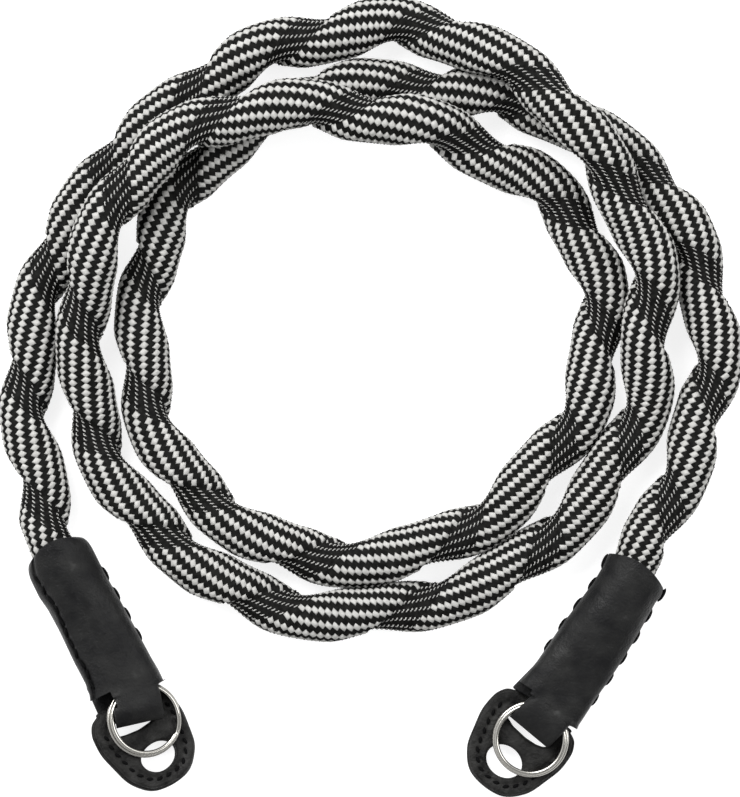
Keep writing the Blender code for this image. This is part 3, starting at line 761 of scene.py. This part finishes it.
def tongue_sections(end, wall):
    """The tongue: place as a share of its length, half width, half height, squareness."""
    high = TONGUE_HEIGHT / 2.0
    wide = TONGUE_WIDTH / 2.0
    if wall:
        places = (0.12, 0.3, 0.45, 0.6, 0.72, 1.0 - wall / TONGUE_LENGTH)
        inside = [min(high - wall, high * fold_height(end, share) - 0.8 * wall) for share in places]
        return [(share, wide + 1.6 * wall, height, 9.0) for share, height in zip(places, inside)]
    sections = [(0.03, 0.31 * SLEEVE_WIDTH + 0.38 * wide, high, 4.2), (0.07, wide * 1.06, high, 5.0)]
    fold = end["fold_from"]
    for share in np.concatenate([np.linspace(0.10, fold, 8), np.linspace(fold, 1.0, 20)[1:]]):
        squareness = 5.0 + 4.0 * min(1.0, (share - 0.1) / 0.3)
        sections.append((share, wide, high * fold_height(end, share), squareness))
    return sections


def sleeve_rows(end, wall):
    """A sleeve's outside (wall 0) or hollow: along, turn, arch, half width, half height, squareness."""
    lead = MOUTH_ROUND / SLEEVE_LENGTH
    start = lead * np.array([0.0, 0.04, 0.12, 0.25, 0.45, 0.7])
    rows = []
    for share in np.concatenate([start, np.linspace(lead, 1.0, SLEEVE_ROWS)]):
        width, height, square = smooth_section(share)
        before = max(0.0, 1.0 - share / lead)
        narrow = MOUTH_ROUND * end["round"] * (1.0 - sqrt(1.0 - before * before))
        rows.append((
            share * SLEEVE_LENGTH, end["shoulder_turn"] * share ** 3,
            0.0 if wall else MOUTH_ARCH * max(0.0, 1.0 - share / 0.12),
            width * SLEEVE_WIDTH / 2.0 - wall - narrow, height * SLEEVE_HEIGHT / 2.0 - wall,
            9.0 if wall and share == 1.0 else square,
        ))
    if wall:
        rows.insert(0, (-MOUTH_ARCH - wall, *rows[0][1:]))
    for share, half_width, half_height, square in tongue_sections(end, wall):
        turn = end["tongue_turn"] + end["fold_turn"] * max(0.0, share - 0.3) / 0.7
        rows.append((SLEEVE_LENGTH + share * TONGUE_LENGTH, turn, 0.0, half_width, half_height, square))
    return rows


def dent_depth(side, share, across):
    """How deep the soft dents are at a place on the top of a sleeve."""
    deep = 0.0
    for along, middle, long, wide, depth, turn in SLEEVE_DENTS[side]:
        turned = radians(turn)
        u = share - along
        v = (across - middle) * WIDTH_TO_LENGTH
        a = (u * cos(turned) + v * sin(turned)) / long
        b = (v * cos(turned) - u * sin(turned)) / (wide * WIDTH_TO_LENGTH)
        deep += depth * exp(-a * a - b * b)
    return deep * MM


def pressed_in(side, share, x, u, v):
    """How far dents and seam press a point of a sleeve's outside down, and its edge seams draw it in."""
    down = 0.0
    drawn = 0.0
    if v > 0.0:
        down = dent_depth(side, share, x / (SLEEVE_WIDTH / 2.0 * 1.02)) * min(1.0, v * 2.0)
        if side == "left" and share <= 1.0:
            down += SEAM_DEPTH * exp(-((u - read_rows(SEAM_LINE, share)) / SEAM_WIDTH) ** 2)
    if abs(v) < 0.2 and share <= 1.0 and (side == "right" or u > 0.0):
        drawn = copysign(SEAM_DEPTH * 0.6 * (1.0 - abs(v) / 0.2), x)
    return down, drawn


def sleeve_surface(side, wall, quarter):
    """Points of a sleeve's rings, with its seam and dents pressed in on the outside."""
    end = ENDS[side]
    rings = []
    for along, turn, arch, half_width, half_height, square in sleeve_rows(end, wall):
        share = along / SLEEVE_LENGTH
        middle = middle_height(end, min(along, SLEEVE_LENGTH))
        centre = sleeve_point(end, along, sleeve_side(end, along), middle)
        forward, across = level_axes(radians(end["heading"] + turn))
        across.z = slope_at(end, share)
        level = 0.0
        if share > 1.0:
            centre = tongue_place(end, along - SLEEVE_LENGTH) + UP * middle
            if wall == 0.0:
                fade = max(0.0, 1.0 - (share - 1.0) / (0.7 * TONGUE_LENGTH / SLEEVE_LENGTH))
                level = across.z * (end["root_side"] - end["shoulder_side"]) * MM * eased(fade)
        ring = []
        for x, y, u, v in section_ring(half_width, half_height, square, quarter):
            y += level * max(0.0, v)
            if share <= 1.0:
                x += edge_shift(side, share, u) * u
            if wall == 0.0 and share <= 1.12:
                down, drawn = pressed_in(side, share, x, u, v)
                y -= down
                x -= drawn
            ring.append(centre + across * x + UP * y - forward * arch * (1.0 - u * u))
        rings.append(ring)
    return rings


def sleeve_box(name, end, along, sides, low, high, rounding=0.0):
    """A box in a sleeve's own directions: sides and levels at both ends, its edges rounded if asked."""
    points = []
    for a, beside, bottom, top in zip(along, sides, low, high):
        for b in beside:
            for c in (bottom, top):
                points.append(tuple(sleeve_point(end, a * MM, b * MM, c * MM)))
    faces = [(0, 1, 3, 2), (4, 6, 7, 5), (0, 4, 5, 1), (2, 3, 7, 6), (0, 2, 6, 4), (1, 5, 7, 3)]
    item = mesh_object(name, points, faces, SLEEVE_SKIN)
    if rounding:
        rework(item.data, lambda work: bmesh.ops.bevel(
            work, geom=work.edges[:], offset=rounding, segments=4, profile=0.5, affect="EDGES"))
        item.data.shade_smooth()
    return item


def cut_away(item, cutter):
    """Cuts one closed body out of another and removes the cutter."""
    cut = item.modifiers.new("cut", "BOOLEAN")
    cut.operation = "DIFFERENCE"
    cut.solver = "EXACT"
    cut.object = cutter
    bpy.context.view_layer.update()
    done = bpy.data.meshes.new_from_object(item.evaluated_get(bpy.context.evaluated_depsgraph_get()))
    item.modifiers.clear()
    item.data = done
    bpy.data.objects.remove(cutter, do_unlink=True)


def make_back_corner(side):
    """The corner of the sleeve's back panel that shows past the cut-back top panel."""
    end = ENDS[side]
    along, start, reach = end["back"]
    sides = ((start, start + 4.5), (reach, reach + 5.6))
    name = "sleeve_back_corner_" + side
    item = sleeve_box(name, end, (along - 6.5, along), sides, (0.6, 1.9), (2.2, 3.4), 0.45 * MM)
    finish_piece(item, "black_leather")


def make_sleeve(side):
    """One sewn leather sleeve with its folded tongue, hollow where the cord and the tongue's slot are."""
    outer = loft_object("sleeve_" + side, sleeve_surface(side, 0.0, SECTION_QUARTER), SLEEVE_SKIN)
    cut_away(outer, loft_object("hollow_" + side, sleeve_surface(side, LEATHER, 12), SLEEVE_SKIN))
    along, beside = ENDS[side]["notch"]
    sides = ((-9.0, beside), (-9.0, beside))
    notch = sleeve_box("notch_" + side, ENDS[side], (along, along + 3.5), sides, (2.6, 2.6), (12.0, 12.0))
    cut_away(outer, notch)
    outer.data.shade_smooth()
    sharpen(outer, 48)
    finish_piece(outer, "black_leather", "leather_sleeve_" + side)


def lens_points():
    """A unit lens along x: five rings of eight points, then its far and near tips."""
    points = []
    for r in range(1, 6):
        x = r / 3.0 - 1.0
        wide = (1.0 - x * x) ** 0.6
        for k in range(8):
            points.append((x, wide * cos(TURN * k / 8), wide * sin(TURN * k / 8)))
    return np.array(points + [(1.0, 0.0, 0.0), (-1.0, 0.0, 0.0)])


def make_stitches(name, places, slot):
    """Thread stitches: each is (middle, direction, up, sizes)."""
    points = lens_points()
    stitches = []
    for middle, along, up, sizes in places:
        along = along.normalized()
        side = up.cross(along).normalized()
        axes = np.array((along, side, along.cross(side))) * np.array(sizes)[:, None] / 2.0
        stitches.append(points @ axes + np.array(middle))
    faces = copies(bead_faces(5, 8), len(points), len(places))
    finish_piece(mesh_object(name, np.concatenate(stitches), faces, THREAD), slot)


def make_sleeve_stitches(side):
    """The thread along a sleeve's edges, and over the seam on top of the left one."""
    end = ENDS[side]
    places = []

    def surface_point(share, across, over=0.0):
        width, height, square = smooth_section(share)
        facing = radians(end["heading"] + end["shoulder_turn"] * share ** 3)
        direction = level_axes(facing)[1] + UP * slope_at(end, share)
        level = max(0.0, 1.0 - abs(across) ** square) ** (1.0 / square)
        sideways = across * (width * SLEEVE_WIDTH / 2.0 + abs(across) * edge_shift(side, share, across))
        along = share * SLEEVE_LENGTH
        centre = sleeve_point(end, along, sleeve_side(end, along), middle_height(end, along))
        return centre + direction * sideways + UP * over * level * height * SLEEVE_HEIGHT / 2.0

    for sleeve, edge, first, last, count, out in EDGE_STITCHES:
        if sleeve != side:
            continue
        for share in np.linspace(first, last, count):
            here = surface_point(share, edge)
            along = (surface_point(share + 0.02, edge) - here).normalized()
            sideways = Vector((along.y, -along.x, 0.0))
            if sideways.dot(here - surface_point(share, 0.0)) < 0.0:
                sideways.negate()
            places.append((here + sideways * (out * MM - STITCH_SUNK), along, UP, EDGE_STITCH))
    if side == "left":
        for k in range(11):
            share = 0.12 + 0.075 * k
            seam = read_rows(SEAM_LINE, share)
            here = surface_point(share, seam, 1.0)
            ahead = surface_point(share + 0.05, seam - (0.07 if k % 2 else -0.05), 1.0)
            places.append((here - UP * STITCH_SUNK, ahead - here, UP, SEAM_STITCH))
    make_stitches("sleeve_thread_" + side, places, "black_leather")


# Guards

GRID = 0.28 * MM
RIM_ROUND = 0.42 * MM
STITCH_INSET = 2.25 * MM
STITCH_PITCH = 2.07 * MM
STITCH_LEAN = 0.35
GROOVE_DEPTH = 0.48 * MM
GROOVE_WIDTH = 0.55 * MM
PUCKER_WIDTH = 0.75 * MM
FACE_INSET = 0.45 * MM
SLOT_SHORTER = 0.9 * MM
LEFT_HOLE_SHORTER = 0.84

# How far the slot's edge at the bridge is drawn back: place across the slot from -1 to 1, millimetres
SLOT_EDGE = {
    "left": ((-1.0, 0.9), (-0.7, 0.45), (-0.2, 0.1), (0.3, 0.3), (1.0, 1.3)),
    "right": ((-1.0, 1.2), (-0.6, 0.35), (0.0, 0.05), (0.5, 0.25), (0.8, 0.7), (1.0, 1.6)),
}


def smooth_outline(curl):
    """The guard's rim as closely spaced points in its own plane."""
    top = LUG_HOLE_FROM_END - GUARD_LENGTH
    far = []
    near = []
    for along, wide in GUARD_OUTLINE:
        x = top + along * GUARD_LENGTH
        y = wide * GUARD_WIDTH / 2.0
        far.append((x, y * (1.0 - curl * max(0.0, 1.0 - along / 0.75))))
        near.append((x, -y))
    corners = np.array(far + [(LUG_HOLE_FROM_END, 0.0)] + near[::-1])
    closed = np.concatenate([corners[-3:], corners, corners[:3]])
    at = np.linspace(3.0, 3.0 + len(corners), 40 * len(corners), endpoint=False)
    line = natural_spline(closed, at)[0]
    length = walked(line)
    return read_line(line, length, np.linspace(0.0, length[-1], 260))


def nearest_on(line, points):
    """Distance of points from a closed line, the nearest places on it, and which points are inside."""
    best = np.full(len(points), 1e9)
    place = np.zeros_like(points)
    inside = np.zeros(len(points), bool)
    for a, d in zip(line, np.roll(line, -1, axis=0) - line):
        t = np.clip(((points - a) @ d) / max(1e-16, d @ d), 0.0, 1.0)
        on = a + t[:, None] * d
        away = np.linalg.norm(points - on, axis=1)
        closer = away < best
        best = np.where(closer, away, best)
        place[closer] = on[closer]
        crosses = (a[1] > points[:, 1]) != (a[1] + d[1] > points[:, 1])
        if d[1] != 0.0:
            inside ^= crosses & (points[:, 0] < a[0] + d[0] * (points[:, 1] - a[1]) / d[1])
    return best, place, inside


def guard_holes(side):
    """The lug hole and the tongue's slot as closed lines, the slot's edge at the bridge curved."""
    angles = np.linspace(0.0, TURN, 72, endpoint=False)
    hole = np.stack([LUG_HOLE_LENGTH / 2.0 * np.cos(angles), LUG_HOLE_WIDTH / 2.0 * np.sin(angles)], axis=1)
    if side == "left":
        hole[:, 0] *= np.where(hole[:, 0] < 0.0, LEFT_HOLE_SHORTER, 1.0)
    near_bridge = -LUG_HOLE_LENGTH / 2.0 - BRIDGE
    slot = []
    for share in np.linspace(-1.0, 1.0, 25):
        y = SLOT_SIDE + share * SLOT_WIDTH / 2.0 - SLOT_SHORTER * max(0.0, share)
        slot.append((near_bridge - read_rows(SLOT_EDGE[side], share) * MM, y))
    slot.append((near_bridge - SLOT_LENGTH, SLOT_SIDE + SLOT_WIDTH / 2.0 - SLOT_SHORTER))
    slot.append((near_bridge - SLOT_LENGTH, SLOT_SIDE - SLOT_WIDTH / 2.0))
    return hole, np.array(slot)


def drawn_in(line, inset):
    """A closed line moved inwards."""
    ahead = np.roll(line, -1, axis=0) - np.roll(line, 1, axis=0)
    ahead /= np.linalg.norm(ahead, axis=1)[:, None]
    inward = np.stack([-ahead[:, 1], ahead[:, 0]], axis=1)
    inward *= np.sign(np.sum(inward * (line.mean(axis=0) - line), axis=1))[:, None]
    return line + inward * inset


def stitch_places(outline):
    """Evenly spaced places on a line drawn in from the rim, with its direction there."""
    line = drawn_in(outline, STITCH_INSET)
    closed = np.concatenate([line, line[:1]])
    length = walked(closed)
    count = int(round(length[-1] / STITCH_PITCH))
    at = (np.arange(count) + 0.5) * length[-1] / count
    middle = read_line(closed, length, at)
    ahead = read_line(closed, length, at + 0.2 * MM) - middle
    return middle, ahead / np.linalg.norm(ahead, axis=1)[:, None]


def guard_plate(outline, holes, middle_z, stitches, grooved):
    """One leather layer as a fine closed plate: rounded rims, and a puckered groove under the stitches."""
    low = outline.min(axis=0) - GRID
    count = np.ceil((outline.max(axis=0) - low) / GRID).astype(int) + 2
    grid = np.stack(np.meshgrid(np.arange(count[0]), np.arange(count[1]), indexing="ij"), axis=-1)
    flat = low + grid.reshape(-1, 2) * GRID
    reach, place, solid = nearest_on(outline, flat)
    for hole in holes:
        away, on, within = nearest_on(hole, flat)
        closer = away < reach
        place = np.where(closer[:, None], on, place)
        reach = np.where(closer, away, reach)
        solid = solid & ~within
    index = np.arange(len(flat)).reshape(count)
    cells = np.stack([index[:-1, :-1], index[1:, :-1], index[1:, 1:], index[:-1, 1:]], axis=-1).reshape(-1, 4)
    cells = cells[solid[cells].sum(axis=1) >= 3]
    used = np.unique(cells)
    edges = {}
    for cell in cells.tolist():
        for pair in zip(cell, cell[1:] + cell[:1]):
            if pair[::-1] in edges:
                del edges[pair[::-1]]
            else:
                edges[pair] = True
    border = sorted({corner for pair in edges for corner in pair})
    flat[border] = place[border]
    reach[border] = 0.0
    drop = RIM_ROUND - np.sqrt(RIM_ROUND ** 2 - np.maximum(0.0, RIM_ROUND - reach) ** 2)
    press = 0.0
    if grooved:
        groove = np.exp(-((nearest_on(outline, flat)[0] - STITCH_INSET) / GROOVE_WIDTH) ** 2)
        near = np.min([np.linalg.norm(flat - middle, axis=1) for middle in stitches], axis=0)
        press = GROOVE_DEPTH * (0.45 * groove + 0.55 * np.exp(-(near / PUCKER_WIDTH) ** 2))
    top = np.column_stack([flat, middle_z + GUARD_LAYER / 2.0 - drop - press])[used]
    bottom = np.column_stack([flat, middle_z - GUARD_LAYER / 2.0 + drop])[used]
    number = {int(v): k for k, v in enumerate(used)}
    total = len(used)
    faces = []
    for cell in cells.tolist():
        own = [number[v] for v in cell]
        faces += [tuple(own), tuple(total + v for v in own[::-1])]
    for a, b in edges:
        faces.append((number[b], number[a], total + number[a], total + number[b]))
    return top.tolist() + bottom.tolist(), faces


def make_guard(side):
    """A guard: two leather layers sewn together, and its stitches."""
    end = ENDS[side]
    outline = smooth_outline(end["curl"])
    holes = guard_holes(side)
    middles, directions = stitch_places(outline)
    seen = middles[:, 0] > LUG_HOLE_FROM_END - GUARD_LENGTH + STITCH_INSET + 1.0 * MM
    layer = (GUARD_LAYER + GUARD_LAYER_GAP) / 2.0
    points = []
    faces = []
    for rim, level in ((drawn_in(outline, FACE_INSET), layer), (outline, -layer)):
        some, few = guard_plate(rim, holes, level, middles[seen], level > 0.0)
        faces += [tuple(v + len(points) for v in face) for face in few]
        points += some
    place = guard_frame(end)
    item = mesh_object("guard_" + side, [tuple(place @ Vector(p)) for p in points], faces, GUARD_SKIN)
    sharpen(item, 50)
    finish_piece(item, "guard_leather", "guard_face_" + side, "guard_backing_" + side)
    turned = place.to_3x3()
    level = layer + GUARD_LAYER / 2.0 - STITCH_SUNK
    stitches = []
    for (x, y), (a, b) in zip(middles[seen], directions[seen]):
        lean = turned @ Vector((a - STITCH_LEAN * b, b + STITCH_LEAN * a, 0.0))
        stitches.append((place @ Vector((x, y, level)), lean, turned @ UP, GUARD_STITCH))
    make_stitches("guard_thread_" + side, stitches, "guard_leather")


# Split rings

RING_STEPS = 300
WIRE_SIDES = 20
TURN_SPREAD = 0.42 * MM

# How thick the wire's rounded ends are: its last ring, and the one before
WIRE_ENDS = (0.80, 0.95)


def make_ring(side):
    """A split ring: nearly two turns of round wire with rounded ends."""
    end = ENDS[side]
    radius = RING_DIAMETER / 2.0 - WIRE / 2.0
    above_face = GUARD_LAYER + GUARD_LAYER_GAP / 2.0 + GAP + WIRE + RING_TURN_GAP / 2.0
    shift = Matrix.Translation((end["ring_offset"][0] * MM, end["ring_offset"][1] * MM, above_face))
    place = guard_frame(end) @ shift
    rings = []
    for k in range(RING_STEPS + 1):
        angle = RING_STEP_ANGLE + (2.0 * TURN - RING_STEP_ANGLE) * k / RING_STEPS
        climbed = eased(held((angle - TURN) / RING_STEP_ANGLE))
        out = level_axes(angle + radians(end["ring_end"]))[0]
        middle = out * (radius + TURN_SPREAD * (0.5 - climbed))
        middle += UP * (climbed - 0.5) * (WIRE + RING_TURN_GAP)
        from_end = min(k, RING_STEPS - k)
        thick = WIRE / 2.0 * (WIRE_ENDS[from_end] if from_end < 2 else 1.0)
        turns = [TURN * j / WIRE_SIDES for j in range(WIRE_SIDES)]
        rings.append([place @ (middle + out * thick * cos(t) + UP * thick * sin(t)) for t in turns])
    item = loft_object("ring_" + side, rings, STEEL)
    sharpen(item, 60)
    finish_piece(item, "ring_steel", "split_ring_" + side)


# Camera, floor and light

def area_light(name, place, power):
    """A soft square light that looks at the middle of the strap."""
    data = bpy.data.lights.new(name, "AREA")
    data.size = 1.1
    data.energy = power
    item = bpy.data.objects.new(name, data)
    item.location = place
    item.rotation_euler = (-Vector(place)).to_track_quat("-Z", "Y").to_euler()
    bpy.context.scene.collection.objects.link(item)


def make_room():
    """A pale room, brightest at mid height and towards the left and back, weaker straight above."""
    world = bpy.data.worlds.new("pale_room")
    world.use_nodes = True
    tree = world.node_tree
    place = tree.nodes.new("ShaderNodeTexCoord")
    split = tree.nodes.new("ShaderNodeSeparateXYZ")
    ramp = tree.nodes.new("ShaderNodeValToRGB")
    stops = ramp.color_ramp.elements
    for position, level in ROOM_STOPS:
        stops.new(position).color = (level * 0.98, level * 0.99, level, 1.0)
    stops.remove(stops[-1])
    stops.remove(stops[0])
    tree.links.new(place.outputs["Generated"], split.inputs["Vector"])
    tree.links.new(split.outputs["Z"], ramp.inputs["Fac"])
    tree.links.new(ramp.outputs["Color"], tree.nodes["Background"].inputs["Color"])
    strength = math_node(tree, "MULTIPLY_ADD", split.outputs["X"], -FROM_LEFT * ROOM_LEVEL, ROOM_LEVEL)
    strength = math_node(tree, "MULTIPLY_ADD", split.outputs["Y"], FROM_BACK * ROOM_LEVEL, strength)
    tree.links.new(strength, tree.nodes["Background"].inputs["Strength"])
    bpy.context.scene.world = world


def make_studio():
    """The pale floor, the soft lights and the camera straight above."""
    corners = [(x * FLOOR_HALF, y * FLOOR_HALF, -FLOOR_DROP) for x, y in ((-1, -1), (1, -1), (1, 1), (-1, 1))]
    paint = shader_material("pale_floor", (0.40, 0.40, 0.40), 0.95, 0.0)
    glow = paint.node_tree.nodes["Principled BSDF"]
    glow.inputs["Emission Color"].default_value = (1.0, 1.0, 1.0, 1.0)
    glow.inputs["Emission Strength"].default_value = FLOOR_GLOW
    mesh_object("floor", corners, [(0, 1, 2, 3)], paint)
    make_room()
    area_light("key_light", (-0.75, 0.95, 1.35), 42.0)
    area_light("fill_light", (1.2, 0.2, 1.2), 16.0)
    data = bpy.data.cameras.new("camera")
    data.sensor_fit = "VERTICAL"
    data.sensor_height = SENSOR
    data.lens = SENSOR * CAMERA_HEIGHT / FRAME_HEIGHT
    data.clip_start = 0.01
    data.clip_end = 20.0
    camera = bpy.data.objects.new("camera", data)
    camera.location = (-CENTRE.x, -CENTRE.y, CAMERA_HEIGHT + FRAMED_AT)
    bpy.context.scene.collection.objects.link(camera)
    bpy.context.scene.camera = camera
    bpy.context.scene.view_settings.view_transform = "Standard"


make_studio()
make_cord()
for side in ENDS:
    make_sleeve(side)
    make_back_corner(side)
    make_sleeve_stitches(side)
    make_guard(side)
    make_ring(side)
